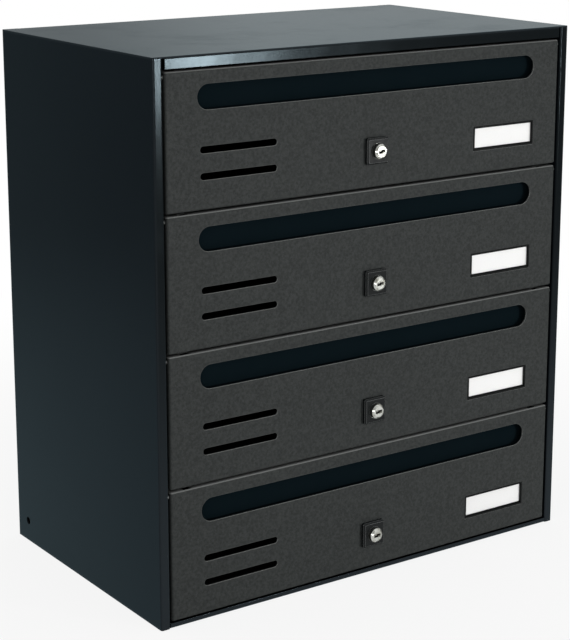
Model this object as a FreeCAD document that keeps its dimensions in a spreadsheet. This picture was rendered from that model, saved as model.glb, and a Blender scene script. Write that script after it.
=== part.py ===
"""Cluster mailbox: four letter boxes, one above another, in one folded sheet-steel cabinet.

Each box has a top-hung door with a letter slot, two look-in vents, a cam lock and a name card.
Behind each slot hangs a gravity flap. Millimetres, +Z up, front towards -Y, origin at the middle
of the base. Each door and what it carries is drawn in the door's own frame: X along the door,
Y = 0 on its front face and growing inwards, Z = 0 on its top edge.
"""
import FreeCAD, Part
import Sketcher
import math
import os
import re

ROWS = 4
SIDES = (-1, 1)
TABS = (-1, 0, 1)
SAME_PLACE = 1e-4

SIZES = {
    # Cabinet of folded sheet
    "width": 400,
    "depth": 240,
    "panel_sheet": 1,
    "panel_bend": 0.6,
    "strip": 8,
    "jamb_depth": 24,
    "rear_return": 14,
    "flange": 10,
    "top_lip": 9,
    "base_lip": 4,
    "base_clear": 1,
    "seam": 0.3,
    "shelf_clear": 0.5,
    "shelf_lip": 8,
    "strike_width": 40,
    "strike_foot": 14,
    "tab_length": 30,
    "tab_spread": 130,
    # Holes for fixing to a wall and for bolting cabinets side by side
    "wall_hole_dia": 6.5,
    "wall_hole_span": 300,
    "wall_hole_rise": 300,
    "link_hole_dia": 6.5,
    "link_hole_inset": 19,
    "link_hole_up": 18,
    # Door pan
    "door_height": 103.5,
    "door_sheet": 1,
    "door_bend": 0.6,
    "door_return": 11,
    "door_setback": 0.3,
    "side_gap": 2,
    "stop_gap": 0.5,
    # Door hinge pins
    "pin_dia": 3,
    "pin_lip": 0.7,
    "pin_head": 1.2,
    "pin_clear": 0.2,
    "pin_reach": 3,
    "pin_tip": 0.5,
    "pin_play": 0.05,
    "press_gap": 0.02,
    # Letter slot and look-in vents
    "slot_inset": 27,
    "slot_height": 19,
    "slot_drop": 20.2,
    "vent_length": 68,
    "vent_height": 5.4,
    "vent_drop": 58.9,
    "vent_pitch": 19.8,
    "vent_inset": 29,
    # Letter flap and its rod
    "flap_sheet": 0.8,
    "flap_lap": 6,
    "flap_rest": 0.2,
    "rod_dia": 3,
    "rod_play": 0.08,
    "rod_lip": 0.7,
    "rod_head": 1,
    "curl_clear": 0.8,
    "curl_lap": 2,
    "ear_wall": 1.2,
    "ear_clear": 0.5,
    # Cam lock
    "lock_drop": 74.5,
    "bezel_wall": 2.5,
    "bezel_thick": 4,
    "bezel_corner": 1.6,
    "bezel_edge": 1.3,
    "nose_wall": 1.6,
    "nose_stand": 4.4,
    "nose_edge": 1.4,
    "nose_gap": 0.4,
    "collar_lip": 2.1,
    "collar_thick": 1.2,
    "barrel_wall": 2.74,
    "flat_cut": 1,
    "nut_wall": 2.5,
    "nut_thick": 4,
    "nut_bevel": 30,
    "plug_dia": 7.4,
    "plug_lip": 0.5,
    "plug_head": 1.4,
    "plug_recess": 0.3,
    "plug_play": 0.06,
    "keyway_length": 6.2,
    "keyway_width": 1.5,
    "keyway_step": 1.2,
    "keyway_lap": 1.4,
    "keyway_depth": 6,
    "tang": 5,
    "tang_short": 0.1,
    "cam_gap": 0.6,
    "cam_play": 0.3,
    "cam_thick": 2,
    "cam_width": 12,
    "cam_engage": 4,
    "screw_dia": 3,
    "screw_depth": 6,
    "screw_tip": 0.5,
    "screw_lip": 2,
    "screw_head": 2.2,
    "screw_slot": 1,
    # Name card and its holder
    "name_length": 62,
    "name_height": 17.8,
    "name_drop": 74.9,
    "name_inset": 27,
    "holder_rim": 1.2,
    "holder_stand": 0.3,
    "holder_skin": 0.8,
    "holder_wall": 1.5,
    "card_thick": 0.4,
    "card_margin": 1.5,
    "card_play": 0.3,
}

# What follows from the sizes above: levels and depths that several pieces share.
DERIVED = {
    "front_plane": "-depth / 2",
    "rear_plane": "depth / 2",
    "tray_rear": "rear_plane - 2 * panel_sheet",
    "fold": "panel_bend + panel_sheet",
    "row_gap": "panel_sheet + 2 * shelf_clear",
    "row_pitch": "door_height + row_gap",
    "lowest_top": "base_lip + base_clear + door_height",
    "height": f"lowest_top + {ROWS - 1} * row_pitch + row_gap + top_lip",
    "door_width": "width - 2 * (strip + side_gap)",
    "slot_length": "door_width - 2 * slot_inset",
    "door_face": "front_plane + door_setback",
    "stop_line": "front_plane + door_setback + door_return + stop_gap",
    "strike_top": "base_lip + base_clear - shelf_clear + shelf_lip",
    "pin_head_radius": "pin_dia / 2 + pin_lip",
    "hinge_in": "door_sheet + door_bend + pin_clear + pin_head_radius",
    "curl_inner": "rod_dia / 2 + rod_play",
    "curl_outer": "curl_inner + flap_sheet",
    "rod_back": "door_sheet + curl_clear + curl_outer",
    "rod_drop": "slot_drop - slot_height / 2 - curl_lap - curl_outer",
    "flap_length": "slot_length + 2 * flap_lap",
    "flap_hang": "slot_drop + slot_height / 2 + flap_lap - rod_drop",
    "rod_head_radius": "rod_dia / 2 + rod_lip",
    "ear_wrap": "rod_dia / 2 + press_gap + ear_wall",
    "ear_inner": "flap_length / 2 + ear_clear",
    "plug_head_radius": "plug_dia / 2 + plug_lip",
    "nose_radius": "plug_head_radius + plug_play + nose_wall",
    "nose_end": "bezel_thick + nose_stand",
    "collar_radius": "nose_radius + collar_lip",
    "bezel_half": "collar_radius + bezel_wall",
    "barrel_radius": "plug_dia / 2 + plug_play + barrel_wall",
    "flat_half": "barrel_radius - flat_cut",
    "screw_head_radius": "screw_dia / 2 + screw_lip",
    "cam_line": "door_return + stop_gap + panel_sheet + cam_gap",
    "cam_back": "cam_line + cam_thick",
    "cam_reach": "door_height - lock_drop - shelf_lip + shelf_clear + cam_engage",
    "name_across": "door_width / 2 - name_inset - name_length / 2",
    "card_back": "door_sheet + holder_skin + card_thick + card_play",
    "card_room_across": "name_length / 2 + card_margin + card_play",
    "card_room_up": "name_height / 2 + card_margin + card_play",
}

doc = FreeCAD.newDocument("cluster_mailbox")
sheet = doc.addObject("Spreadsheet::Sheet", "sizes")
cells = {alias: str(size) for alias, size in SIZES.items()}
cells.update({alias: "=" + formula for alias, formula in DERIVED.items()})
for line, (alias, content) in enumerate(cells.items(), start=1):
    sheet.set(f"A{line}", alias)
    sheet.setAlias(f"B{line}", alias)
    sheet.set(f"B{line}", content)
doc.recompute()
nodes = []


def bound(formula):
    """A formula in plain size names, written as an expression on the sheet's cells."""
    return re.sub(r"[a-z_]+", lambda word: f"sizes.{word[0]}" if word[0] in cells else word[0], formula)


def number(formula):
    """The value that a formula has now."""
    return float(sheet.evalExpression(bound(formula)))


def new_body(node, across="0", back="0", up="0"):
    """An empty body for one node, placed by formulas."""
    body = doc.addObject("PartDesign::Body", node)
    place(body, across, back, up)
    nodes.append(body)
    body.Label = node
    return body


def place(item, across, back, up):
    """Tie an object's position to formulas."""
    item.setExpression("Placement.Base.x", bound(across))
    item.setExpression("Placement.Base.y", bound(back))
    item.setExpression("Placement.Base.z", bound(up))


def new_sketch(body, name, plane, level="0"):
    """A sketch on one of the body's own planes, moved to a level along the axis across that plane."""
    face = next(item for item in body.Origin.OriginFeatures if item.Role == plane)
    sketch = body.newObject("Sketcher::SketchObject", name)
    sketch.AttachmentSupport = [(face, "")]
    sketch.MapMode = "FlatFace"
    turned = plane == "XZ_Plane"
    sketch.setExpression("AttachmentOffset.Base.z", bound(f"-({level})" if turned else level))
    return sketch


def hold(sketch, kind, first, first_end, second, second_end, formula):
    """A dimension in a sketch, tied to a formula."""
    constraint = Sketcher.Constraint(kind, first, first_end, second, second_end, number(formula))
    sketch.setExpression(f"Constraints[{sketch.addConstraint(constraint)}]", bound(formula))


def hold_point(sketch, item, end, across, up):
    """Tie a point of a sketch to two formulas, measured from the sketch's origin."""
    hold(sketch, "DistanceX", -1, 1, item, end, across)
    hold(sketch, "DistanceY", -1, 1, item, end, up)


def hold_radius(sketch, item, radius):
    """Tie the radius of an arc or circle to a formula."""
    index = sketch.addConstraint(Sketcher.Constraint("Radius", item, number(radius)))
    sketch.setExpression(f"Constraints[{index}]", bound(radius))


def outline(sketch, points):
    """A closed outline of straight lines through points given as pairs of formulas."""
    corners = [FreeCAD.Vector(number(across), number(up), 0) for across, up in points]
    following = corners[1:] + corners[:1]
    lines = [sketch.addGeometry(Part.LineSegment(*ends)) for ends in zip(corners, following)]
    for line, after in zip(lines, lines[1:] + lines[:1]):
        sketch.addConstraint(Sketcher.Constraint("Coincident", line, 2, after, 1))
    for line, (across, up) in zip(lines, points):
        hold_point(sketch, line, 1, across, up)


def rectangle(sketch, low_across, high_across, low_up, high_up):
    """A rectangle between four formulas."""
    right = [(high_across, low_up), (high_across, high_up)]
    outline(sketch, [(low_across, low_up)] + right + [(low_across, high_up)])


def round_hole(sketch, across, up, radius):
    """A circle."""
    centre = FreeCAD.Vector(number(across), number(up), 0)
    circle = sketch.addGeometry(Part.Circle(centre, FreeCAD.Vector(0, 0, 1), number(radius)))
    hold_point(sketch, circle, 3, across, up)
    hold_radius(sketch, circle, radius)


def arc(sketch, across, up, radius, start, end):
    """A counter-clockwise arc from one angle to another, in degrees, with its centre and radius tied."""
    centre = FreeCAD.Vector(number(across), number(up), 0)
    circle = Part.Circle(centre, FreeCAD.Vector(0, 0, 1), number(radius))
    item = sketch.addGeometry(Part.ArcOfCircle(circle, math.radians(start), math.radians(end)))
    hold_point(sketch, item, 3, across, up)
    hold_radius(sketch, item, radius)
    return item


def join_lines(sketch, arcs, touch):
    """Straight lines from the end of each arc to the start of the next, tangent or simply meeting it."""
    for item, after in zip(arcs, arcs[1:] + arcs[:1]):
        ends = sketch.Geometry[item].EndPoint, sketch.Geometry[after].StartPoint
        line = sketch.addGeometry(Part.LineSegment(*ends))
        sketch.addConstraint(Sketcher.Constraint(touch, item, 2, line, 1))
        sketch.addConstraint(Sketcher.Constraint(touch, line, 2, after, 1))


def sketch_chain(sketch, points):
    """Straight lines through points, each starting where the one before it ends."""
    lines = [sketch.addGeometry(Part.LineSegment(*ends)) for ends in zip(points, points[1:])]
    for line, after in zip(lines, lines[1:]):
        sketch.addConstraint(Sketcher.Constraint("Coincident", line, 2, after, 1))
    return lines


def long_hole(sketch, across, up, length, height):
    """A hole with straight sides and half-round ends, given its middle, overall length and height."""
    radius = f"({height}) / 2"
    run = f"(({length}) / 2 - {radius})"
    right = arc(sketch, f"{across} + {run}", up, radius, -90, 90)
    left = arc(sketch, f"{across} - {run}", up, radius, 90, 270)
    join_lines(sketch, [right, left], "Tangent")


def flatted_hole(sketch, across, up, radius, half_flats):
    """A round hole with two upright flats, as a lock barrel needs so that it can't turn."""
    spread = math.degrees(math.acos(number(half_flats) / number(radius)))
    upper = arc(sketch, across, up, radius, spread, 180 - spread)
    lower = arc(sketch, across, up, radius, 180 + spread, 360 - spread)
    join_lines(sketch, [upper, lower], "Coincident")
    for item, ends in ((upper, (1, 2)), (lower, (2, 1))):
        hold(sketch, "DistanceX", -1, 1, item, ends[0], f"{across} + {half_flats}")
        hold(sketch, "DistanceX", -1, 1, item, ends[1], f"{across} - ({half_flats})")


def pad(body, sketch, length, kind="PartDesign::Pad"):
    """Sheet or bar of a given thickness, half on each side of its sketch."""
    feature = body.newObject(kind, kind.split("::")[1])
    feature.Profile = sketch
    feature.SideType = "Symmetric"
    feature.setExpression("Length", bound(length))
    doc.recompute()
    return feature


def cut(body, sketch, length):
    """A cut of a given depth, half on each side of its sketch. It has to take something away."""
    before = body.Shape.Volume
    feature = pad(body, sketch, length, "PartDesign::Pocket")
    if not body.Shape.Volume < before:
        raise RuntimeError(f"a cut in {body.Label} takes nothing away")
    return feature


def turn(body, sketch, axis, kind="PartDesign::Revolution"):
    """A turned piece: the sketch swung once round one of its own axes."""
    feature = body.newObject(kind, kind.split("::")[1])
    feature.Profile = sketch
    feature.ReferenceAxis = (sketch, [axis])
    doc.recompute()
    return feature


def edges_along(feature, axis, places):
    """Names of the straight edges parallel to an axis that pass through places on the other two axes."""
    others = [letter for letter in "xyz" if letter != axis]
    wanted = [[number(formula) for formula in pair] for pair in places]
    names = []
    for index, edge in enumerate(feature.Shape.Edges, start=1):
        ends = [[getattr(vertex.Point, letter) for letter in others] for vertex in edge.Vertexes]
        offsets = [[abs(a - b) for end in ends for a, b in zip(end, spot)] for spot in wanted]
        here = any(max(offset) < SAME_PLACE for offset in offsets)
        if here and len(ends) == 2 and edge.Curve.TypeId == "Part::GeomLine":
            names.append(f"Edge{index}")
    return names


def round_edges(body, feature, axis, places, radius):
    """Round the edges of a feature that run along an axis through places."""
    rounding = body.newObject("PartDesign::Fillet", "Fillet")
    rounding.Base = (feature, edges_along(feature, axis, places))
    rounding.setExpression("Radius", bound(radius))
    doc.recompute()
    return rounding


def fold_sheet(body, feature, axis, outer, inner):
    """Give a folded sheet its bends: the outer radius outside each fold and the inner one inside."""
    bent = round_edges(body, feature, axis, outer, "fold")
    return round_edges(body, bent, axis, inner, "panel_bend")


def row_top(row):
    """Level of a door's top edge. Row 1 is the topmost."""
    return f"(lowest_top + {ROWS - row} * row_pitch)"


def shelf_level(row):
    """Level of the underside of the shelf below a row's door."""
    return f"({row_top(row)} - door_height - shelf_clear - panel_sheet)"


def on_door(node, row, across="0", back="0", up="0"):
    """A body in a door's frame, moved within that frame."""
    return new_body(f"{node}_{row}", across, f"door_face + {back}", f"{row_top(row)} + {up}")


def side_panel(node, side):
    """One side of the cabinet: wall, front strip, the jamb that holds the hinge pins, and rear return."""
    wall = f"{side} * width / 2"
    wall_in = f"{side} * (width / 2 - panel_sheet)"
    jamb = f"{side} * (width / 2 - strip)"
    jamb_in = f"{side} * (width / 2 - strip + panel_sheet)"
    rear_edge = f"{side} * (width / 2 - rear_return)"
    strip_in = "front_plane + panel_sheet"
    jamb_end = "front_plane + jamb_depth"
    rear_in = "rear_plane - panel_sheet"
    body = new_body(node)
    profile = new_sketch(body, "folded_profile", "XY_Plane", "height / 2")
    outer = [(jamb, "front_plane"), (wall, "front_plane"), (wall, "rear_plane")]
    inner = [(wall_in, rear_in), (wall_in, strip_in), (jamb_in, strip_in)]
    rear_tip = [(rear_edge, "rear_plane"), (rear_edge, rear_in)]
    outline(profile, [(jamb, jamb_end)] + outer + rear_tip + inner + [(jamb_in, jamb_end)])
    fold_sheet(body, pad(body, profile, "height"), "z", outer, inner)

    seat = new_sketch(body, "top_panel_seat", "XY_Plane", "height")
    jamb_out = f"{side} * (width / 2 - strip - seam)"
    rectangle(seat, jamb_out, wall_in, "front_plane - seam", f"{jamb_end} + seam")
    cut(body, seat, "2 * panel_sheet")

    pivots = new_sketch(body, "pivot_holes", "YZ_Plane", f"{side} * (width / 2 - strip + panel_sheet / 2)")
    for row in range(1, ROWS + 1):
        level = f"{row_top(row)} - hinge_in"
        round_hole(pivots, "door_face + hinge_in", level, "pin_dia / 2 + pin_play")
    cut(body, pivots, "2 * panel_sheet")

    link = new_sketch(body, "link_hole", "YZ_Plane", f"{side} * (width / 2 - panel_sheet / 2)")
    round_hole(link, "rear_plane - link_hole_inset", "link_hole_up", "link_hole_dia / 2")
    cut(body, link, "2 * panel_sheet")


def side_flanges(body, level, height):
    """Flanges of a panel that lie against the two side walls, from the jambs to the back."""
    plan = new_sketch(body, "side_flanges", "XY_Plane", level)
    for side in SIDES:
        edges = f"{side} * (width / 2 - panel_sheet)", f"{side} * (width / 2 - 2 * panel_sheet)"
        rectangle(plan, *edges, "front_plane + jamb_depth + 2 * seam", "tray_rear - seam")
    pad(body, plan, height)


def tab_ends(tab, clear):
    """The two ends of a tab along a panel's rear edge, with room beside it."""
    reach = f"(tab_length / 2 + {clear})"
    return f"{tab} * tab_spread - {reach}", f"{tab} * tab_spread + {reach}"


def rear_tabs(body, level):
    """Tabs on a panel's rear edge that stand in the back panel's slots, flush with its outside."""
    plan = new_sketch(body, "rear_tabs", "XY_Plane", level)
    for tab in TABS:
        rectangle(plan, *tab_ends(tab, "0"), "tray_rear", "tray_rear + panel_sheet")
    pad(body, plan, "panel_sheet")


def top_panel():
    """Roof: a sheet between the side walls, with a front lip as wide as the doors and tabs at the rear."""
    body = new_body("top_panel")
    profile = new_sketch(body, "folded_profile", "YZ_Plane")
    lip_end = "height - top_lip"
    under = "height - panel_sheet"
    lip_in = "front_plane + panel_sheet"
    corner = ("front_plane", "height")
    inside = (lip_in, under)
    rear = [("tray_rear", "height"), ("tray_rear", under)]
    outline(profile, [("front_plane", lip_end), corner] + rear + [inside, (lip_in, lip_end)])
    fold_sheet(body, pad(body, profile, "width - 2 * panel_sheet"), "x", [corner], [inside])

    ends = new_sketch(body, "lip_ends", "XZ_Plane", "front_plane")
    for side in SIDES:
        across = f"{side} * door_width / 2", f"{side} * width / 2"
        rectangle(ends, *across, f"{lip_end} - seam", under)
    cut(body, ends, "2 * (fold + seam)")
    side_flanges(body, "height - (flange + panel_sheet) / 2", "flange - panel_sheet")
    rear_tabs(body, "height - panel_sheet / 2")


def tray(node, up, lip_line, lip):
    """A floor with an upturned front lip, side flanges and rear tabs, notched round the jambs."""
    body = new_body(node, up=up)
    profile = new_sketch(body, "folded_profile", "YZ_Plane")
    lip_in = f"{lip_line} + panel_sheet"
    corner = (lip_line, "0")
    inside = (lip_in, "panel_sheet")
    rear = [("tray_rear", "panel_sheet"), ("tray_rear", "0")]
    outline(profile, [corner, (lip_line, lip), (lip_in, lip), inside] + rear)
    fold_sheet(body, pad(body, profile, "width - 2 * panel_sheet"), "x", [corner], [inside])

    notches = new_sketch(body, "jamb_notches", "XY_Plane")
    for side in SIDES:
        across = f"{side} * (width / 2 - strip - seam)", f"{side} * width / 2"
        rectangle(notches, *across, "front_plane - seam", "front_plane + jamb_depth + seam")
    cut(body, notches, "4 * (flange + shelf_lip)")
    side_flanges(body, "(flange + panel_sheet) / 2", "flange - panel_sheet")
    rear_tabs(body, "panel_sheet / 2")


def back_panel():
    """Flat back against the side panels' rear returns, slotted for the tabs of roof, shelves and floor."""
    body = new_body("back_panel")
    middle = "rear_plane - 1.5 * panel_sheet"
    plate = new_sketch(body, "plate", "XZ_Plane", middle)
    rectangle(plate, "-(width / 2 - fold - seam)", "width / 2 - fold - seam", "0", "height")
    for side in SIDES:
        for rise in SIDES:
            level = f"height / 2 + {rise} * wall_hole_rise / 2"
            round_hole(plate, f"{side} * wall_hole_span / 2", level, "wall_hole_dia / 2")
    pad(body, plate, "panel_sheet")

    slots = new_sketch(body, "tab_slots", "XZ_Plane", middle)
    for level in ["0", "height - panel_sheet"] + [shelf_level(row) for row in range(1, ROWS)]:
        for tab in TABS:
            rectangle(slots, *tab_ends(tab, "seam"), f"{level} - seam", f"{level} + panel_sheet + seam")
    cut(body, slots, "2 * panel_sheet")


def base_strike():
    """Angle on the floor that the lowest door's cam hooks behind. The others hook behind shelf lips."""
    body = new_body("base_strike")
    profile = new_sketch(body, "folded_profile", "YZ_Plane")
    lip_in = "stop_line + panel_sheet"
    foot_end = "stop_line + strike_foot"
    corner = ("stop_line", "panel_sheet")
    inside = (lip_in, "2 * panel_sheet")
    foot = [(foot_end, "panel_sheet"), (foot_end, "2 * panel_sheet")]
    outline(profile, [corner] + foot + [inside, (lip_in, "strike_top"), ("stop_line", "strike_top")])
    fold_sheet(body, pad(body, profile, "strike_width"), "x", [corner], [inside])


def door(row):
    """Door pan with returns on four sides, its cut-outs, and two ears lanced down for the flap's rod."""
    body = on_door("door", row)
    half = "door_width / 2"
    blank = new_sketch(body, "blank", "XZ_Plane", "door_return / 2")
    rectangle(blank, f"-{half}", half, "-door_height", "0")
    block = pad(body, blank, "door_return")
    block = round_edges(body, block, "x", [("0", "0"), ("0", "-door_height")], "door_bend + door_sheet")
    block = round_edges(body, block, "z", [(f"-{half}", "0"), (half, "0")], "door_bend + door_sheet")

    hollow = new_sketch(body, "hollow", "XZ_Plane", "(door_return + door_sheet) / 2")
    inside = f"({half} - door_sheet)"
    low = "-door_height + door_sheet"
    rectangle(hollow, f"-{inside}", inside, low, "-door_sheet")
    pan = cut(body, hollow, "door_return - door_sheet")
    pan = round_edges(body, pan, "x", [("door_sheet", "-door_sheet"), ("door_sheet", low)], "door_bend")
    round_edges(body, pan, "z", [(f"-{inside}", "door_sheet"), (inside, "door_sheet")], "door_bend")

    front = new_sketch(body, "front_cutouts", "XZ_Plane", "door_sheet / 2")
    long_hole(front, "0", "-slot_drop", "slot_length", "slot_height")
    for line in range(2):
        vent_middle = f"-{half} + vent_inset + vent_length / 2"
        long_hole(front, vent_middle, f"-vent_drop - {line} * vent_pitch", "vent_length", "vent_height")
    flatted_hole(front, "0", "-lock_drop", "barrel_radius + press_gap", "(flat_half + press_gap)")
    rim_across = "(name_length / 2 + holder_rim + press_gap)"
    rim_up = "(name_height / 2 + holder_rim + press_gap)"
    across = f"name_across - {rim_across}", f"name_across + {rim_across}"
    rectangle(front, *across, f"-name_drop - {rim_up}", f"-name_drop + {rim_up}")
    cut(body, front, "2 * door_sheet")

    pivots = new_sketch(body, "pivot_holes", "YZ_Plane")
    round_hole(pivots, "hinge_in", "-hinge_in", "pin_dia / 2 + press_gap")
    cut(body, pivots, "2 * door_width")

    lances = new_sketch(body, "lances", "XY_Plane", "-door_sheet / 2")
    for side in SIDES:
        ear = f"{side} * (ear_inner + door_sheet)", f"{side} * (ear_inner + rod_drop + ear_wrap)"
        rectangle(lances, *ear, "rod_back - ear_wrap", "rod_back + ear_wrap")
    cut(body, lances, "2 * door_sheet")
    for side in SIDES:
        ear = new_sketch(body, "ear", "YZ_Plane", f"{side} * (ear_inner + door_sheet / 2)")
        wrap = arc(ear, "rod_back", "-rod_drop", "ear_wrap", 180, 360)
        corners = ("rod_back - ear_wrap", "-door_sheet / 2"), ("rod_back + ear_wrap", "-door_sheet / 2")
        ends = [FreeCAD.Vector(number(far), number(up), 0) for far, up in corners]
        bottom = ear.Geometry[wrap]
        sides = sketch_chain(ear, [bottom.EndPoint, ends[1], ends[0], bottom.StartPoint])
        ear.addConstraint(Sketcher.Constraint("Tangent", wrap, 2, sides[0], 1))
        ear.addConstraint(Sketcher.Constraint("Tangent", sides[-1], 2, wrap, 1))
        hold(ear, "DistanceY", -1, 1, sides[0], 2, corners[0][1])
        hold(ear, "DistanceY", -1, 1, sides[1], 2, corners[0][1])
        round_hole(ear, "rod_back", "-rod_drop", "rod_dia / 2 + press_gap")
        pad(body, ear, "door_sheet")


def hinge_pins(row):
    """Two headed pins: each head sits inside the door's side return, and the shank turns in the jamb."""
    body = on_door("hinge_pins", row, back="hinge_in", up="-hinge_in")
    half_section = new_sketch(body, "half_sections", "XZ_Plane")
    for side in SIDES:
        seat = f"{side} * (door_width / 2 - door_sheet)"
        head_end = f"{side} * (door_width / 2 - door_sheet - pin_head)"
        tip = f"{side} * (width / 2 - strip + panel_sheet + pin_reach)"
        shoulder = f"{side} * (width / 2 - strip + panel_sheet + pin_reach - pin_tip)"
        head = [(head_end, "0"), (head_end, "pin_head_radius"), (seat, "pin_head_radius")]
        shank = [(seat, "pin_dia / 2"), (shoulder, "pin_dia / 2")]
        point = [(tip, "pin_dia / 2 - pin_tip"), (tip, "0")]
        outline(half_section, head + shank + point)
    turn(body, half_section, "H_Axis")


def flap_rod(row):
    """Rod that the letter flap swings on, with its ends peened over outside the ears."""
    body = on_door("flap_rod", row, back="rod_back", up="-rod_drop")
    half_section = new_sketch(body, "half_section", "XZ_Plane")
    ear_out = "(ear_inner + door_sheet)"
    end = "(ear_inner + door_sheet + rod_head)"
    right = [(ear_out, "rod_dia / 2"), (ear_out, "rod_head_radius"), (end, "rod_head_radius"), (end, "0")]
    left = [(f"-{across}", radius) for across, radius in reversed(right)]
    outline(half_section, right + left)
    turn(body, half_section, "H_Axis")


def letter_flap(row):
    """Gravity flap: its top is curled round the rod and its lower hem rests on the back of the door."""
    body = on_door("letter_flap", row, back="rod_back", up="-rod_drop")
    profile = new_sketch(body, "curled_profile", "YZ_Plane")
    inner = arc(profile, "0", "0", "curl_inner", 0, 270)
    outer = arc(profile, "0", "0", "curl_outer", 0, 270)
    hem = "-(rod_back - door_sheet) + flap_rest"
    corners = [
        ("curl_outer", "-flap_hang"),
        (hem, "-flap_hang"),
        (hem, "-flap_hang + flap_sheet"),
        ("curl_inner", "-flap_hang + flap_sheet"),
    ]
    bends = [FreeCAD.Vector(number(back), number(up), 0) for back, up in corners]
    geometry = profile.Geometry
    plate = sketch_chain(profile, [geometry[outer].StartPoint] + bends + [geometry[inner].StartPoint])
    tip = sketch_chain(profile, [geometry[inner].EndPoint, geometry[outer].EndPoint])
    for first, first_end, second, second_end in (
        (plate[0], 1, outer, 1),
        (plate[-1], 2, inner, 1),
        (tip[0], 1, inner, 2),
        (tip[0], 2, outer, 2),
    ):
        profile.addConstraint(Sketcher.Constraint("Coincident", first, first_end, second, second_end))
    for curl in (inner, outer):
        hold(profile, "DistanceY", -1, 1, curl, 1, "0")
        hold(profile, "DistanceX", -1, 1, curl, 2, "0")
    for line, (back, up) in zip(plate, corners):
        hold_point(profile, line, 2, back, up)
    pad(body, profile, "flap_length")


def lock_bezel(row):
    """Square black surround of the lock, hollowed behind for the barrel's collar."""
    body = on_door("lock_bezel", row, up="-lock_drop")
    square = new_sketch(body, "square", "XZ_Plane", "-bezel_thick / 2")
    rectangle(square, "-bezel_half", "bezel_half", "-bezel_half", "bezel_half")
    block = pad(body, square, "bezel_thick")
    corners = [(f"{across} * bezel_half", f"{up} * bezel_half") for across in SIDES for up in SIDES]
    block = round_edges(body, block, "y", corners, "bezel_corner")
    bevel = body.newObject("PartDesign::Chamfer", "Chamfer")
    front = max(block.Shape.Faces, key=lambda face: -face.CenterOfMass.y)
    names = [f"Edge{index}" for index, edge in enumerate(block.Shape.Edges, start=1)
             if any(edge.isSame(rim) for rim in front.Edges)]
    bevel.Base = (block, names)
    bevel.setExpression("Size", bound("bezel_edge"))
    doc.recompute()
    for name, radius, level, depth in (
        ("bore", "nose_radius + nose_gap", "-bezel_thick / 2", "2 * bezel_thick"),
        ("collar_seat", "collar_radius + press_gap", "0", "2 * collar_thick"),
    ):
        hole = new_sketch(body, name, "XZ_Plane", level)
        round_hole(hole, "0", "0", radius)
        cut(body, hole, depth)


def lock_cylinder(row):
    """Lock barrel: a round nose through the bezel, a collar on the door, and a flatted barrel behind."""
    body = on_door("lock_cylinder", row, up="-lock_drop")
    half_section = new_sketch(body, "half_section", "XY_Plane")
    barrel_end = "cam_line - cam_play"
    seat = "-nose_end + plug_recess + plug_head + cam_play"
    nose = [
        ("plug_head_radius + plug_play", "-nose_end"),
        ("nose_radius - nose_edge", "-nose_end"),
        ("nose_radius", "-nose_end + nose_edge"),
        ("nose_radius", "-collar_thick"),
    ]
    collar = [("collar_radius", "-collar_thick"), ("collar_radius", "0"), ("barrel_radius", "0")]
    barrel = [("barrel_radius", barrel_end), ("plug_dia / 2 + plug_play", barrel_end)]
    bore = [("plug_dia / 2 + plug_play", seat), ("plug_head_radius + plug_play", seat)]
    outline(half_section, nose + collar + barrel + bore)
    turn(body, half_section, "V_Axis")
    flats = new_sketch(body, "flats", "XZ_Plane", f"({barrel_end}) / 2")
    for side in SIDES:
        across = f"{side} * flat_half", f"{side} * 2 * barrel_radius"
        rectangle(flats, *across, "-barrel_radius", "barrel_radius")
    cut(body, flats, barrel_end)


def lock_nut(row):
    """Hexagon nut that clamps the barrel to the back of the door."""
    body = on_door("lock_nut", row, up="-lock_drop")
    hexagon = new_sketch(body, "hexagon", "XZ_Plane", "door_sheet + nut_thick / 2")
    corner = "(barrel_radius + nut_wall) * 2 / sqrt(3)"
    angles = [f"{60 * index} deg" for index in range(6)]
    outline(hexagon, [(f"{corner} * cos({angle})", f"{corner} * sin({angle})") for angle in angles])
    round_hole(hexagon, "0", "0", "barrel_radius + press_gap")
    blank = pad(body, hexagon, "nut_thick")

    shaving = new_sketch(body, "corner_shaving", "XY_Plane")
    face = "door_sheet + nut_thick"
    slope = f"{face} - ({corner} - barrel_radius - nut_wall) * tan(nut_bevel * 1 deg)"
    outline(shaving, [("barrel_radius + nut_wall", face), (corner, slope), (corner, face)])
    turn(body, shaving, "V_Axis", "PartDesign::Groove")
    if not body.Shape.Volume < blank.Shape.Volume:
        raise RuntimeError("the nut keeps its sharp corners")


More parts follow.
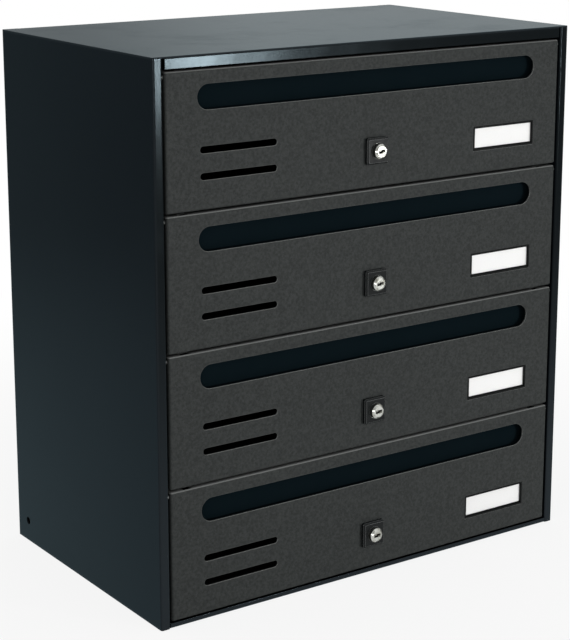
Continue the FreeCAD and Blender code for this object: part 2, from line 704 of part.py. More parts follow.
def lock_plug(row):
    """Plug that the key turns, with a stepped keyway in its face and a square tang for the cam."""
    body = on_door("lock_plug", row, up="-lock_drop")
    half_section = new_sketch(body, "half_section", "XY_Plane")
    face = "-nose_end + plug_recess"
    head_end = f"{face} + plug_head"
    head = [("0", face), ("plug_head_radius", face), ("plug_head_radius", head_end)]
    stem = [("plug_dia / 2", head_end), ("plug_dia / 2", "cam_line"), ("0", "cam_line")]
    outline(half_section, head + stem)
    turn(body, half_section, "V_Axis")

    square = new_sketch(body, "tang", "XZ_Plane", "cam_line + (cam_thick - tang_short) / 2")
    rectangle(square, "-tang / 2", "tang / 2", "-tang / 2", "tang / 2")
    pad(body, square, "cam_thick - tang_short")

    keyway = new_sketch(body, "keyway", "XZ_Plane", face)
    wide = "(keyway_width + keyway_step) / 2"
    narrow = "(keyway_width - keyway_step) / 2"
    lower_left = [("-keyway_length / 2", f"-{wide}"), ("keyway_lap / 2", f"-{wide}")]
    lower_right = [("keyway_lap / 2", f"-{narrow}"), ("keyway_length / 2", f"-{narrow}")]
    lower = lower_left + lower_right
    upper = [(f"-({across})", f"-({up})") for across, up in lower]
    outline(keyway, lower + upper)
    cut(body, keyway, "2 * keyway_depth")

    thread = new_sketch(body, "screw_hole", "XZ_Plane", "cam_back - tang_short")
    round_hole(thread, "0", "0", "screw_dia / 2 + press_gap")
    cut(body, thread, "2 * (screw_depth + screw_tip)")


def lock_cam(row):
    """Cam on the plug's tang: it points sideways when unlocked, down behind the shelf lip when locked."""
    body = on_door("lock_cam", row, up="-lock_drop")
    blank = new_sketch(body, "blank", "XZ_Plane", "cam_line + cam_thick / 2")
    long_hole(blank, "(cam_reach - cam_width / 2) / 2", "0", "cam_reach + cam_width / 2", "cam_width")
    hole = "(tang / 2 + press_gap)"
    rectangle(blank, f"-{hole}", hole, f"-{hole}", hole)
    pad(body, blank, "cam_thick")


def cam_screw(row):
    """Slotted screw that holds the cam on the plug."""
    body = on_door("cam_screw", row, up="-lock_drop")
    half_section = new_sketch(body, "half_section", "XY_Plane")
    end = "cam_back - screw_depth"
    shank = [("0", end), ("screw_dia / 2 - screw_tip", end), ("screw_dia / 2", f"{end} + screw_tip")]
    under = [("screw_dia / 2", "cam_back"), ("screw_head_radius", "cam_back")]
    rim = "cam_back + screw_head / 2"
    crown = [("screw_head_radius", rim), ("screw_head_radius - screw_head / 2", "cam_back + screw_head")]
    outline(half_section, shank + under + crown + [("0", "cam_back + screw_head")])
    turn(body, half_section, "V_Axis")
    slot = new_sketch(body, "slot", "XZ_Plane", "cam_back + screw_head")
    rectangle(slot, "-2 * screw_dia", "2 * screw_dia", "-screw_slot / 2", "screw_slot / 2")
    cut(body, slot, "screw_head")


def name_holder(row):
    """Black holder behind the name opening: a rim fills the opening, and the card slides in at one end."""
    body = on_door("name_holder", row, across="name_across", up="-name_drop")
    back_wall = "(card_back + holder_skin)"
    across = "(card_room_across + holder_wall)"
    up = "(card_room_up + holder_wall)"
    case = new_sketch(body, "case", "XZ_Plane", f"(door_sheet + {back_wall}) / 2")
    rectangle(case, f"-{across}", across, f"-{up}", up)
    pad(body, case, f"{back_wall} - door_sheet")

    rim = new_sketch(body, "rim", "XZ_Plane", "(door_sheet - holder_stand) / 2")
    rim_across = "(name_length / 2 + holder_rim)"
    rim_up = "(name_height / 2 + holder_rim)"
    rectangle(rim, f"-{rim_across}", rim_across, f"-{rim_up}", rim_up)
    pad(body, rim, "door_sheet + holder_stand")

    window = new_sketch(body, "window", "XZ_Plane", "(door_sheet + holder_skin - holder_stand) / 2")
    rectangle(window, "-name_length / 2", "name_length / 2", "-name_height / 2", "name_height / 2")
    cut(body, window, "door_sheet + holder_skin + holder_stand")

    room = new_sketch(body, "card_room", "XZ_Plane", "(door_sheet + holder_skin + card_back) / 2")
    rectangle(room, "-card_room_across", f"{across} + seam", "-card_room_up", "card_room_up")
    cut(body, room, "card_thick + card_play")


def name_card(row):
    """Plain white card, larger than the opening that it shows through."""
    card = doc.addObject("Part::Box", f"name_card_{row}")
    card.setExpression("Length", bound("name_length + 2 * card_margin"))
    card.setExpression("Width", bound("card_thick"))
    card.setExpression("Height", bound("name_height + 2 * card_margin"))
    left = "name_across - name_length / 2 - card_margin"
    foot = f"{row_top(row)} - name_drop - name_height / 2 - card_margin"
    place(card, left, "door_face + door_sheet + holder_skin", foot)
    nodes.append(card)


side_panel("left_side_panel", -1)
side_panel("right_side_panel", 1)
top_panel()
tray("bottom_panel", "0", "front_plane", "base_lip")
back_panel()
for row in range(1, ROWS):
    tray(f"shelf_{row}", shelf_level(row), "stop_line", "panel_sheet + shelf_lip")
base_strike()

door_pieces = (
    door,
    hinge_pins,
    letter_flap,
    flap_rod,
    lock_bezel,
    lock_cylinder,
    lock_nut,
    lock_plug,
    lock_cam,
    cam_screw,
    name_holder,
    name_card,
)
for row in range(1, ROWS + 1):
    for piece in door_pieces:
        piece(row)
doc.recompute()

for item in doc.Objects:
    if {"Invalid", "Error"} & set(item.State):
        raise RuntimeError(f"{item.Label} failed: {item.State}")
for node in nodes:
    if node.Shape.isNull() or not node.Shape.isValid():
        raise RuntimeError(f"{node.Label} has no valid shape")

os.makedirs("parts", exist_ok=True)
for node in nodes:
    node.Shape.exportStep(f"parts/{node.Label}.step")
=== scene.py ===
"""Looks of the cluster mailbox: paints, plating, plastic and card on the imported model, and a pale studio.

Metres, +Z up, front towards -Y, origin at the middle of the base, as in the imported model.
"""
import math
import bmesh
import bpy
import numpy as np
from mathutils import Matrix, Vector


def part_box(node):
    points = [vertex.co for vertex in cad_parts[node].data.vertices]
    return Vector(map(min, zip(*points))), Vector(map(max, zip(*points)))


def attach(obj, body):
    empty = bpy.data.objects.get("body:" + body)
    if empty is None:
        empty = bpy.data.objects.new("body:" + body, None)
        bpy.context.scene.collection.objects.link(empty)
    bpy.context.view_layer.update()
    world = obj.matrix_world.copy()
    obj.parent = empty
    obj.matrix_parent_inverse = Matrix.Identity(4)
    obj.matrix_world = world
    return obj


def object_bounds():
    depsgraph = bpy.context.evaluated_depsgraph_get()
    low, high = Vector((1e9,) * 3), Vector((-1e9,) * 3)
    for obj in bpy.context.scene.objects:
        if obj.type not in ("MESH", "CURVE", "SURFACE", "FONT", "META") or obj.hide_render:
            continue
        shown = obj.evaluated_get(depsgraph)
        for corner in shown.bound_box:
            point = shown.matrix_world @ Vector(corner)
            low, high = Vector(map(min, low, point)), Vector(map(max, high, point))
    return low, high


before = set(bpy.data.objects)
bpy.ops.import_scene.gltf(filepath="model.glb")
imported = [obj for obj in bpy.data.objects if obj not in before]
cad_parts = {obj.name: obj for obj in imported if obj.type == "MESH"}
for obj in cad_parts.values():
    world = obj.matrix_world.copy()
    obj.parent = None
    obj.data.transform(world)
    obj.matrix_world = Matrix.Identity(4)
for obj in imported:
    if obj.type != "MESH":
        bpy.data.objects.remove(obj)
cad_low, cad_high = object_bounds()

# Cabinet: two folded sides, roof, floor, back, three shelves and the base strike, all of 1 mm sheet steel.
# They are spot-welded together, then sprayed with a satin blue-black powder coat, with a slight orange peel.
# The coat lies thinner over the outer folds and is dull inside and on the back. Folds and front carry a
# painted highlight and sheen.
MILLIMETRE = 0.001
SHELVES = ("shelf_1", "shelf_2", "shelf_3")
PANELS = ("left_side_panel", "right_side_panel", "top_panel", "bottom_panel", "back_panel", "base_strike")
BACK_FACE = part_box("back_panel")[1].y
JAMB_END = -cad_high.y + 24 * MILLIMETRE


class Tone:
    """One output of a finish's node tree. Arithmetic on tones and numbers adds Math nodes to that tree."""

    def __init__(self, socket):
        self.socket = socket
        self.tree = socket.id_data

    def node(self, kind, settings, sockets, output=0):
        """Add any node to the tree: settings first, then a value or a link for each socket."""
        made = self.tree.nodes.new("ShaderNode" + kind)
        for name, setting in settings.items():
            setattr(made, name, setting)
        for key, given in sockets.items():
            if isinstance(given, Tone):
                self.tree.links.new(given.socket, made.inputs[key])
            else:
                made.inputs[key].default_value = given
        return Tone(made.outputs[output])

    def math(self, operation, *others):
        """This tone and any others through one Math node."""
        return self.node("Math", {"operation": operation}, dict(enumerate((self, *others))))

    def __add__(self, other):
        return self.math("ADD", other)

    def __sub__(self, other):
        return self.math("SUBTRACT", other)

    def __rsub__(self, other):
        return self * -1 + other

    def __mul__(self, other):
        return self.math("MULTIPLY", other)

    def __abs__(self):
        return self.math("ABSOLUTE")

    __radd__ = __add__
    __rmul__ = __mul__

    def axes(self):
        """The three parts of a vector."""
        split = self.node("SeparateXYZ", {}, {0: self})
        return [Tone(socket) for socket in split.socket.node.outputs]

    def noise(self, per_metre, detail=2.0, roughness=0.5):
        """Smooth noise around 0.5 at this place, with so many lumps to the metre."""
        sockets = {"Vector": self, "Scale": per_metre, "Detail": detail, "Roughness": roughness}
        return self.node("TexNoise", {"normalize": True}, sockets)

    def fade(self, low, high, to_low=0.0, to_high=1.0):
        """A smooth step of this tone: to_low below low, to_high above high."""
        sockets = {"Value": self, "From Min": low, "From Max": high, "To Min": to_low, "To Max": to_high}
        return self.node("MapRange", {"interpolation_type": "SMOOTHSTEP"}, sockets)

    def blend(self, first, second):
        """A colour between two colours, this tone being the share of the second."""
        return self.node("Mix", {"data_type": "RGBA"}, {0: self, 6: first, 7: second}, output=2)

    def bump(self, depth, facing=None):
        """A surface direction that follows this tone as a height, with depth in metres for a rise of one."""
        sockets = {"Height": self, "Strength": 1.0, "Distance": depth}
        if facing is not None:
            sockets["Normal"] = facing
        return self.node("Bump", {}, sockets)

    def eased(self, radius):
        """The surface direction with every sharp edge rounded to a radius."""
        return self.node("Bevel", {"samples": 6}, {"Radius": radius})

    def along(self, direction):
        """How far this direction points along another one: their dot product."""
        return self.node("VectorMath", {"operation": "DOT_PRODUCT"}, {0: self, 1: direction}, output=1)

    def sharpness(self, radius):
        """How far the rounded direction turns from the flat one: 0 on faces, rising towards sharp edges."""
        flat = self.node("NewGeometry", {}, {}, output=1)
        return 1 - self.eased(radius).along(flat)


def new_finish(name, constants):
    """A material with one Principled shader. Gives the material, its shader and the place on the piece."""
    material = bpy.data.materials.new(name)
    material.use_nodes = True
    tree = material.node_tree
    shader = tree.nodes["Principled BSDF"]
    for socket, constant in constants.items():
        shader.inputs[socket].default_value = constant
    place = Tone(tree.nodes.new("ShaderNodeTexCoord").outputs["Object"])
    return material, shader, place


def feed(shader, varying):
    """Link what changes over the surface to the shader's sockets."""
    for socket, tone in varying.items():
        tone.tree.links.new(tone.socket, shader.inputs[socket])


def coat(material, *nodes):
    """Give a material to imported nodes, in place of the plain one."""
    for node in nodes:
        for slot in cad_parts[node].material_slots:
            slot.material = material


def satin_paint():
    """Satin blue-black coat with a metal flake, an orange peel of about 1.5 mm and a few smears.

    Outer folds are paler, for a thinner coat and a painted highlight. The front faces are painted a paler,
    less blue tone, a painted sheen, paler still low down. The coat is also painted more metallic towards the
    base, a painted sheen on the lower sides. Inside the cabinet and on its back it is dull and dusty, and the
    crests of the weld beads are paler, for a thinner coat and a painted highlight.
    """
    constants = {"Specular IOR Level": 0.0, "Specular Tint": (0.80, 0.95, 1.0, 1.0)}
    material, shader, place = new_finish("satin_paint", constants)
    across, back, up = place.axes()
    off_sides = cad_high.x - abs(across)
    off_front = abs(abs(back) - cad_high.y)
    off_ends = (cad_high.z - up).math("MINIMUM", up)
    off_walls = off_sides.math("MINIMUM", off_front)
    off_shell = off_walls.math("MINIMUM", off_ends)
    off_fold = off_walls.math("MAXIMUM", off_ends).math("MINIMUM", off_sides.math("MAXIMUM", off_front))

    cloud = place.noise(6.0, 2.0)
    # Outer folds: paler for a thinner coat and a painted highlight.
    fold = off_fold.fade(0.4 * MILLIMETRE, 2.2 * MILLIMETRE, 1.0, 0.0)
    # Front faces: a paler, less blue painted tone, a painted sheen, and paler still towards the bottom.
    front_and_back_faces = off_front.fade(0.4 * MILLIMETRE, 1.2 * MILLIMETRE, 1.0, 0.0)
    painted_low_sheen = front_and_back_faces * up.fade(20 * MILLIMETRE, 300 * MILLIMETRE, 0.7, 0.0)
    deep = (0.0066, 0.0086, 0.0116, 1.0)
    pale = (0.0084, 0.0110, 0.0142, 1.0)
    pale_painted_light = (0.0088, 0.0112, 0.0124, 1.0)
    thin_coat_and_highlight = (0.0260, 0.0320, 0.0370, 1.0)
    sprayed = front_and_back_faces.blend(cloud.blend(deep, pale), pale_painted_light)
    outer_colour = (fold * 0.6).math("MAXIMUM", painted_low_sheen).blend(sprayed, thin_coat_and_highlight)

    behind_jambs = back.fade(JAMB_END, JAMB_END + 4 * MILLIMETRE)
    behind_back = back.fade(BACK_FACE - 0.3 * MILLIMETRE, BACK_FACE - 0.1 * MILLIMETRE)
    on_back = behind_back * off_sides.fade(1.0 * MILLIMETRE, 2.5 * MILLIMETRE)
    dull = (off_shell.fade(0.4 * MILLIMETRE, 0.8 * MILLIMETRE) * behind_jambs).math("MAXIMUM", on_back)
    # Weld bead crests: paler for a thinner coat and a painted highlight.
    proud_of_back = back.fade(BACK_FACE + 0.1 * MILLIMETRE, BACK_FACE + 0.6 * MILLIMETRE)
    bead_crest_highlight = proud_of_back * off_sides.fade(30 * MILLIMETRE, 40 * MILLIMETRE)
    dusty = (0.026, 0.031, 0.034, 1.0)
    dustier = (0.036, 0.041, 0.044, 1.0)
    crest_pale_highlight = (0.066, 0.073, 0.077, 1.0)
    dull_colour = bead_crest_highlight.blend(cloud.blend(dusty, dustier), crest_pale_highlight)

    smear = place.noise(14.0, 3.0, 0.62).fade(0.48, 0.72)
    peel = place.noise(620.0, 2.0)
    feed(shader, {
        "Base Color": dull.blend(outer_colour, dull_colour),
        # More metallic towards the base: a painted sheen that brightens the lower sides.
        "Metallic": 0.40 - 0.32 * dull + up.fade(0.0, 200 * MILLIMETRE, 0.08, 0.0),
        "Roughness": 0.13 + 0.05 * smear + 0.03 * place.noise(240.0) + 0.3 * dull,
        "Normal": peel.bump(0.02 * MILLIMETRE, place.eased(0.4 * MILLIMETRE)),
    })
    return material


cabinet_paint = satin_paint()
coat(cabinet_paint, *PANELS, *SHELVES)

# Tab welds: the roof, shelves and floor stand with three tabs each in slots of the back panel.
# A short bead on the outside closes each slot and holds its tab. The beads were laid in overlapping drops,
# then sprayed with the cabinet.
TAB_PLACES = (-130 * MILLIMETRE, 0.0, 130 * MILLIMETRE)
BEAD_HALF, BEAD_RISE = 17.5 * MILLIMETRE, 0.6 * MILLIMETRE
BEAD_DROPS, DROP_SWELL = 13, 0.07
SHELF_BEAD_HALF, SHELF_MIDDLE = 1.9 * MILLIMETRE, 0.5 * MILLIMETRE
EDGE_BEAD_HALF, EDGE_INSET = 1.2 * MILLIMETRE, 1.3 * MILLIMETRE
SAME_POINT = 0.0001 * MILLIMETRE


def points(across, back, up):
    """A grid of points from three grids of coordinates, each of which may be a single row or column."""
    return np.stack(np.broadcast_arrays(across, back, up), axis=-1)


def round_turn(steps):
    """The angle v round a section, as one row of a grid."""
    return np.linspace(0, 2 * np.pi, steps, endpoint=False)[None, :]


def skin(name, grids, finish, body):
    """A piece made of grids of points. Each grid is closed on itself in its second direction.

    A grid's first and last rows are single points, which close its ends.
    """
    corners = np.concatenate([grid.reshape(-1, 3) for grid in grids])
    faces = []
    start = 0
    for grid in grids:
        here = start + np.arange(grid.shape[0] * grid.shape[1]).reshape(grid.shape[:2])
        beside = np.roll(here, -1, axis=1)
        faces.append(np.stack([here[:-1], here[1:], beside[1:], beside[:-1]], axis=-1).reshape(-1, 4))
        start += here.size
    mesh = bpy.data.meshes.new(name)
    mesh.from_pydata(corners.tolist(), [], np.concatenate(faces).tolist())
    shell = bmesh.new()
    shell.from_mesh(mesh)
    bmesh.ops.remove_doubles(shell, verts=shell.verts, dist=SAME_POINT)
    shell.to_mesh(mesh)
    shell.free()
    mesh.shade_smooth()
    mesh.materials.append(finish)
    piece = bpy.data.objects.new(name, mesh)
    bpy.context.scene.collection.objects.link(piece)
    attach(piece, body)


def weld_bead(across, level, half_width):
    """A bead along X on the back's outside, with u from -1 to 1 along it and v round it.

    x = across + L u, y = face + b s sin v, z = level + a s cos v, where s = sqrt(1 - u^6) (1 + k cos(pi n u))
    swells with each of the n drops and closes the bead at both ends.
    """
    along = np.linspace(-1, 1, 105)[:, None]
    turn = round_turn(16)
    size = np.sqrt(1 - along**6) * (1 + DROP_SWELL * np.cos(np.pi * BEAD_DROPS * along))
    back = BACK_FACE + BEAD_RISE * size * np.sin(turn)
    return points(across + BEAD_HALF * along, back, level + half_width * size * np.cos(turn))


beads = []
for tab_place in TAB_PLACES:
    for shelf in SHELVES:
        beads.append(weld_bead(tab_place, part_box(shelf)[0].z + SHELF_MIDDLE, SHELF_BEAD_HALF))
    for edge_level in (cad_low.z + EDGE_INSET, cad_high.z - EDGE_INSET):
        beads.append(weld_bead(tab_place, edge_level, EDGE_BEAD_HALF))
skin("tab_welds", beads, cabinet_paint, "cabinet")

# Doors: four folded pans, hung at the top, with a letter slot and two vents punched in each.
# They have a charcoal powder coat with a fine sandy texture, duller than the cabinet's.
ROWS = range(1, 5)
DOOR_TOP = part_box("door_4")[1].z
ROW_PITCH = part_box("door_3")[1].z - DOOR_TOP
DOOR_EDGE_WEAR_AND_HIGHLIGHT = 0.9 * MILLIMETRE


def in_each_row(up, level):
    """The height above a level of the lowest row, or above the same level of whichever row is nearest."""
    return (up - level).math("WRAP", ROW_PITCH / 2, -ROW_PITCH / 2)


def sandy_paint():
    """Charcoal coat: grains of about 0.7 mm that stand up and are a little paler than their roots.

    Along the bend at each door's top the paint is paler, a painted highlight where the paint is also thinner.
    Punched edges are a little paler for thinner paint, and carry a painted highlight on those that face up
    and to the left.
    """
    material, shader, place = new_finish("sandy_paint", {"Specular IOR Level": 0.1})
    grain = place.noise(1500.0, 3.0, 0.7)
    mottle = place.noise(480.0, 2.0, 0.6)
    cloud = place.noise(7.0, 2.0)
    root = (0.0147, 0.0166, 0.0162, 1.0)
    crest = (0.0405, 0.0445, 0.0434, 1.0)
    bare_and_highlight = (0.220, 0.226, 0.222, 1.0)
    share = grain.fade(0.25, 0.75) * 0.4 + mottle.fade(0.3, 0.7) * 0.5 + cloud * 0.1
    # Top bend: a painted highlight along each door's top, where the paint is also thinner.
    above_top = in_each_row(place.axes()[2], DOOR_TOP)
    from_below = above_top.fade(-1.0 * MILLIMETRE, -0.6 * MILLIMETRE)
    bend = from_below * above_top.fade(0.2 * MILLIMETRE, 0.6 * MILLIMETRE, 1.0, 0.0)
    # Punched edges: a little paler for thinner paint, and a painted highlight on edges facing up and left.
    edge = place.sharpness(DOOR_EDGE_WEAR_AND_HIGHLIGHT).fade(0.02, 0.13)
    up_and_left = (-0.5, 0.0, 0.87)
    lit_from_up_left = place.eased(DOOR_EDGE_WEAR_AND_HIGHLIGHT).along(up_and_left).fade(0.05, 0.4)
    worn = (bend * 0.75).math("MAXIMUM", edge * (0.2 + 0.8 * lit_from_up_left))
    feed(shader, {
        "Base Color": worn.blend(share.blend(root, crest), bare_and_highlight),
        "Roughness": 0.62 - 0.14 * grain,
        "Normal": (grain + 0.5 * mottle).bump(0.12 * MILLIMETRE, place.eased(0.5 * MILLIMETRE)),
    })
    return material


coat(sandy_paint(), *[f"door_{row}" for row in ROWS])

# Hinge pins, flap rods, lock nuts, cams and cam screws: turned or stamped steel with a bright zinc plate.
# The plate is silvery with a cold cast, and dulls in soft patches.


def zinc_plate():
    """Bright zinc: metal with patches of duller, bluer plate and a fine grain."""
    material, shader, place = new_finish("zinc_plate", {"Metallic": 1.0})
    patch = place.noise(420.0, 3.0, 0.6)
    bright = (0.60, 0.61, 0.60, 1.0)
    dull = (0.42, 0.44, 0.46, 1.0)
    feed(shader, {
        "Base Color": patch.fade(0.35, 0.7).blend(bright, dull),
        "Roughness": 0.24 + 0.2 * patch,
        "Normal": place.noise(2400.0).bump(0.01 * MILLIMETRE),
    })
    return material


zinc = zinc_plate()
for steel_piece in ("hinge_pins", "flap_rod", "lock_nut", "lock_cam", "cam_screw"):
    coat(zinc, *[f"{steel_piece}_{row}" for row in ROWS])

# Letter flaps: thin sheet behind each slot, curled round its rod and hanging by its own weight.
# They have the cabinet's blue-black coat, painted darker and duller as painted shade behind the slot.


def shaded_flap_paint():
    """Blue-black coat painted darker than the cabinet's as painted shade, dull and with a slight peel."""
    material, shader, place = new_finish("shaded_flap_paint", {"Specular IOR Level": 0.0})
    cloud = place.noise(30.0, 2.0)
    # Darker than the cabinet's coat: painted shade behind the slot.
    deep = (0.0034, 0.0072, 0.0092, 1.0)
    pale = (0.0046, 0.0088, 0.0112, 1.0)
    feed(shader, {
        "Base Color": cloud.blend(deep, pale),
        "Roughness": 0.42 + 0.1 * cloud,
        "Normal": place.noise(620.0, 2.0).bump(0.03 * MILLIMETRE),
    })
    return material


coat(shaded_flap_paint(), *[f"letter_flap_{row}" for row in ROWS])

# Lock bezels: square black surrounds moulded in a glossy plastic, clamped on the door's face by the lock's
# collar. Their bevelled edges are painted paler, a painted highlight with some wear from keys and fingers.


def glossy_black():
    """Glossy black plastic with faint flow marks, paler along its sharp edges: a painted highlight, with some
    wear.
    """
    material, shader, place = new_finish("glossy_black", {"Specular IOR Level": 0.14})
    flow = place.noise(160.0, 2.0)
    black = (0.0040, 0.0052, 0.0054, 1.0)
    soft_black = (0.0080, 0.0098, 0.0100, 1.0)
    pale_painted_light = (0.210, 0.222, 0.222, 1.0)
    # Sharp edges: a painted highlight, with some wear.
    edge = place.sharpness(0.7 * MILLIMETRE).fade(0.01, 0.08)
    feed(shader, {
        "Base Color": (edge * 0.7).blend(flow.blend(black, soft_black), pale_painted_light),
        "Roughness": 0.16 + 0.1 * flow,
        "Normal": place.noise(700.0).bump(0.01 * MILLIMETRE, place.eased(0.3 * MILLIMETRE)),
    })
    return material


coat(glossy_black(), *[f"lock_bezel_{row}" for row in ROWS])

# Name holders: black moulded plastic with a fine spark-eroded grain, snapped in behind the name opening.
# Only a narrow rim of each shows round its card.


def moulded_black():
    """Black plastic: satin, with a grain of about a third of a millimetre."""
    material, shader, place = new_finish("moulded_black", {"Specular IOR Level": 0.06})
    grain = place.noise(3200.0, 2.0, 0.6)
    worn = place.noise(160.0, 2.0)
    black = (0.0035, 0.0042, 0.0042, 1.0)
    grey = (0.0080, 0.0092, 0.0090, 1.0)
    feed(shader, {
        "Base Color": worn.blend(black, grey),
        "Roughness": 0.34 + 0.12 * worn,
        "Normal": grain.bump(0.02 * MILLIMETRE, place.eased(0.3 * MILLIMETRE)),
    })
    return material


black_plastic = moulded_black()
coat(black_plastic, *[f"name_holder_{row}" for row in ROWS])

# Card lips: two thin lips of each name holder, moulded with it, that hold the card along its top and bottom.
# They stand between the card and the door's face and frame the white in black.
CARD_MARGIN = 1.5 * MILLIMETRE
LIP_HALF, LIP_SINK, LIP_THICK = 0.5 * MILLIMETRE, 0.45 * MILLIMETRE, 0.3 * MILLIMETRE


def card_lip(start, end, front, level):
    """A rounded bar along X, with u from 0 to 1 along it and v round it.

    x = start + (end - start) u, y = front + b s S(sin v), z = level + a s S(cos v), where
    S(w) = sign(w) sqrt(|w|), and s is 1 along the bar and 0 at the middle of its flat ends.
    """
    along = np.array([0, 0, 0.01, 0.99, 1, 1])[:, None]
    size = np.array([0, 1, 1, 1, 1, 0])[:, None]
    turn = round_turn(24)
    deep, tall = [size * np.sign(wave) * np.sqrt(np.abs(wave)) for wave in (np.sin(turn), np.cos(turn))]
    return points(start + (end - start) * along, front + LIP_THICK * deep, level + LIP_HALF * tall)


for row in ROWS:
    card_low, card_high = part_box(f"name_card_{row}")
    lip_ends = card_low.x + CARD_MARGIN / 2, card_high.x - CARD_MARGIN / 2
    lip_levels = card_low.z + CARD_MARGIN + LIP_HALF, card_high.z - CARD_MARGIN - LIP_HALF
    lips = [card_lip(*lip_ends, card_low.y - LIP_SINK, level) for level in lip_levels]
    skin(f"card_lips_{row}", lips, black_plastic, f"door_{row}")

# Lock cylinders and plugs: die-cast and turned, with a bright nickel plate that has tarnished in patches.
# Turning leaves fine rings about the lock's own axis; the keyway is darkened by grime and painted shade.
lock_low, lock_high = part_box("lock_plug_4")
LOCK_LEVEL = (lock_low.z + lock_high.z) / 2


def nickel_plate():
    """Bright nickel, ringed every 0.7 mm round the lock's axis, with grime and painted shade by the keyway.
    """
    material, shader, place = new_finish("nickel_plate", {"Metallic": 1.0})
    across, _, up = place.axes()
    off_axis = in_each_row(up, LOCK_LEVEL)
    radius = (across * across + off_axis * off_axis).math("SQRT")
    rings = (radius * 9000.0 + place.noise(300.0)).math("SINE")
    tarnish = place.noise(380.0, 3.0)
    bright = (0.52, 0.53, 0.50, 1.0)
    warm = (0.33, 0.33, 0.285, 1.0)
    grime_and_shade = (0.06, 0.06, 0.052, 1.0)
    # Round the keyway: darkened for grime and painted shade.
    along_keyway = abs(across).fade(2.6 * MILLIMETRE, 3.6 * MILLIMETRE, 1.0, 0.0)
    by_keyway = along_keyway * abs(off_axis).fade(0.9 * MILLIMETRE, 1.8 * MILLIMETRE, 1.0, 0.0)
    feed(shader, {
        "Base Color": (by_keyway * 0.75).blend(tarnish.fade(0.44, 0.64).blend(bright, warm), grime_and_shade),
        "Roughness": 0.18 + 0.12 * tarnish,
        "Normal": rings.bump(0.004 * MILLIMETRE),
    })
    return material


nickel = nickel_plate()
for plated_piece in ("lock_cylinder", "lock_plug"):
    coat(nickel, *[f"{plated_piece}_{row}" for row in ROWS])

# Barrel threads: the thread on each lock barrel that the nut runs on, cut in the barrel and plated with it.
# It stands behind the nut and is missing on the barrel's two flats.
THREAD_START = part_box("lock_nut_1")[1].y + 0.3 * MILLIMETRE
THREAD_PITCH, THREAD_RISE = 1.0 * MILLIMETRE, 0.3 * MILLIMETRE
THREAD_TURNS, RUN_OUT_TURNS, STEPS_PER_TURN = 7.4, 0.25, 40
BARREL_RADIUS, FLAT_HALF = 6.5 * MILLIMETRE, 5.45 * MILLIMETRE
END_SINK = 0.4 * THREAD_RISE


def barrel_thread(level):
    """A ridge along a helix round the lock's axis, with u in turns along it and v over its section (p, q).

    r = min(R + p, F / |cos 2 pi u|), x = r cos 2 pi u, z = level + r sin 2 pi u, y = start + pitch (u + q).
    The flats at x = -F and x = F cut the ridge. Its section shrinks to a point in the barrel at both ends.
    """
    section = np.array([(-0.3, 0.42), (1.0, 0.10), (1.0, -0.10), (-0.3, -0.42)])
    turns = np.linspace(0, THREAD_TURNS, int(THREAD_TURNS * STEPS_PER_TURN) + 1)[:, None]
    full = np.clip(np.minimum(turns, THREAD_TURNS - turns) / RUN_OUT_TURNS, 0, 1)
    rise = section[None, :, 0] * THREAD_RISE * full - END_SINK * (1 - full)
    cosine, sine = np.cos(2 * np.pi * turns), np.sin(2 * np.pi * turns)
    radius = np.minimum(BARREL_RADIUS + rise, FLAT_HALF / np.maximum(np.abs(cosine), 1e-6))
    back = THREAD_START + THREAD_PITCH * (turns + section[None, :, 1] * full)
    return points(radius * cosine, back, level + radius * sine)


for row in ROWS:
    thread_level = LOCK_LEVEL + ROW_PITCH * (ROWS[-1] - row)
    skin(f"barrel_thread_{row}", [barrel_thread(thread_level)], nickel, f"door_{row}")

# Name cards: plain white card, cut to the holders' size and slid in from one end.
# They carry no writing, and have a faint tooth.


def white_card():
    """White card with a faint tooth and a few creamier fibres."""
    material, shader, place = new_finish("white_card", {"Specular IOR Level": 0.2})
    fibre = place.noise(900.0, 4.0, 0.7)
    white = (0.93, 0.93, 0.92, 1.0)
    cream = (0.86, 0.855, 0.83, 1.0)
    feed(shader, {
        "Base Color": fibre.fade(0.45, 0.95).blend(white, cream),
        "Roughness": 0.75 + 0.1 * fibre,
        "Normal": fibre.bump(0.02 * MILLIMETRE),
    })
    return material


coat(white_card(), *[f"name_card_{row}" for row in ROWS])

# Studio: a wide pale floor that keeps the cabinet's shadow, under a white surround, with four soft boxes.
# The camera sees the surround as white, and mirror-like surfaces see it nearly so. Only soft light from it
# falls on the cabinet.
FLOOR_HALF = 20.0
FLOOR_DROP = 0.3 * MILLIMETRE
AMBIENT = 0.45
WHITE = (1.0, 1.0, 1.0, 1.0)
HALF_WHITE = (0.5, 0.5, 0.5, 1.0)


def ray_kinds(tree):
    """Which rays meet the surface: those from the camera, those mirrored, and those through a clear piece."""
    path = tree.nodes.new("ShaderNodeLightPath")
    return [Tone(path.outputs[f"Is {kind} Ray"]) for kind in ("Camera", "Glossy", "Transmission")]


def pale_floor():
    """Matt white floor with some white light of its own towards the camera, so that only shadow darkens it.

    Mirrored rays see it fall off to half white further away.
    """
    constants = {"Base Color": (0.92, 0.92, 0.92, 1.0), "Roughness": 0.9}
    material, shader, place = new_finish("pale_floor", constants)
    seen, mirrored, through = ray_kinds(material.node_tree)
    watched = seen.math("MAXIMUM", mirrored).math("MAXIMUM", through)
    across, back, _ = place.axes()
    away = (across * across + back * back).math("SQRT")
    dim = mirrored * away.fade(0.35, 1.6)
    glow = place.node("Emission", {}, {"Color": dim.blend(WHITE, HALF_WHITE), "Strength": 1.0})
    own_light = watched * away.fade(0.3, 0.9, 0.86, 1.0)
    mixed = place.node("MixShader", {}, {0: own_light, 1: Tone(shader.outputs[0]), 2: glow})
    feed(material.node_tree.nodes["Material Output"], {"Surface": mixed})
    return material


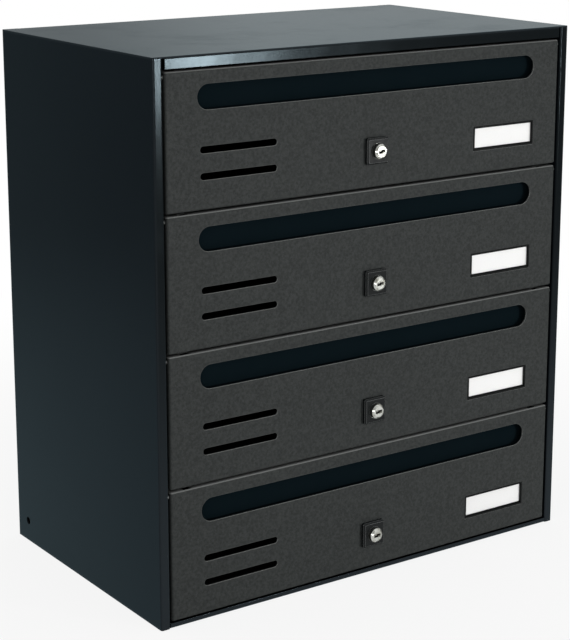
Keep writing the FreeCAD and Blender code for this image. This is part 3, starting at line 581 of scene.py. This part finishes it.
floor_mesh = bpy.data.meshes.new("floor")
floor_sides = np.array([(-1, -1), (1, -1), (1, 1), (-1, 1)]) * FLOOR_HALF
floor_corners = np.column_stack([floor_sides, np.full(4, -FLOOR_DROP)])
floor_mesh.from_pydata(floor_corners.tolist(), [], [(0, 1, 2, 3)])
floor_mesh.materials.append(pale_floor())
floor = bpy.data.objects.new("floor", floor_mesh)
bpy.context.scene.collection.objects.link(floor)

world = bpy.data.worlds.new("white_surround")
bpy.context.scene.world = world
world.use_nodes = True
surround = world.node_tree.nodes["Background"]
surround.inputs["Color"].default_value = WHITE
seen, mirrored, through = ray_kinds(world.node_tree)
east, north, _ = Tone(world.node_tree.nodes.new("ShaderNodeTexCoord").outputs["Generated"]).axes()
heading = east.math("DIVIDE", (east * east + north * north).math("SQRT"))
mirrored_white = heading.fade(0.46, 0.57, 0.62, 1.0)
strength = AMBIENT + seen.math("MAXIMUM", through) * (1.0 - AMBIENT) + mirrored * (mirrored_white - AMBIENT)
feed(surround, {"Strength": strength})


def soft_light(name, place, aim, size, watts):
    """A soft box of a given width and height at a place, turned to face a point."""
    lamp = bpy.data.lights.new(name, "AREA")
    lamp.shape = "RECTANGLE"
    lamp.size, lamp.size_y = size
    lamp.energy = watts
    box = bpy.data.objects.new(name, lamp)
    box.location = place
    box.rotation_euler = (Vector(aim) - Vector(place)).to_track_quat("-Z", "Y").to_euler()
    bpy.context.scene.collection.objects.link(box)


middle = (cad_low + cad_high) / 2
lip_and_strip = (-0.15, -0.12, 0.38)
soft_light("low_front_box", place=(0.935, -1.86, 0.19), aim=lip_and_strip, size=(0.15, 0.16), watts=16.0)
soft_light("low_left_box", place=(-1.6, -1.4, 0.25), aim=middle, size=(0.14, 0.14), watts=3.0)
soft_light("high_front_box", place=(0.25, -1.7, 1.7), aim=middle, size=(0.9, 0.9), watts=3.0)
soft_light("top_box", place=(-0.2, 0.0, 2.2), aim=middle, size=(1.6, 1.6), watts=9.0)

# Camera at the photograph's angle, for a frame of 570 x 640. The picture's verticals are nearly parallel, so
# the lens is shifted a little instead of tilting further down.
FRAME_LONG_SIDE = 640.0
FOCAL_LENGTH = 1780.8
YAW, PITCH = 34.758, 12.665
CAMERA_PLACE = (-0.8381, -1.2036, 0.5839)
LENS_SHIFT = -0.12
camera_data = bpy.data.cameras.new("camera")
camera_data.sensor_fit = "AUTO"
camera_data.lens = FOCAL_LENGTH / FRAME_LONG_SIDE * camera_data.sensor_width
camera_data.shift_y = LENS_SHIFT
camera = bpy.data.objects.new("camera", camera_data)
camera.location = CAMERA_PLACE
camera.rotation_euler = (math.radians(90 - PITCH), 0, math.radians(-YAW))
bpy.context.scene.collection.objects.link(camera)
bpy.context.scene.camera = camera
bpy.context.scene.view_settings.view_transform = "Standard"
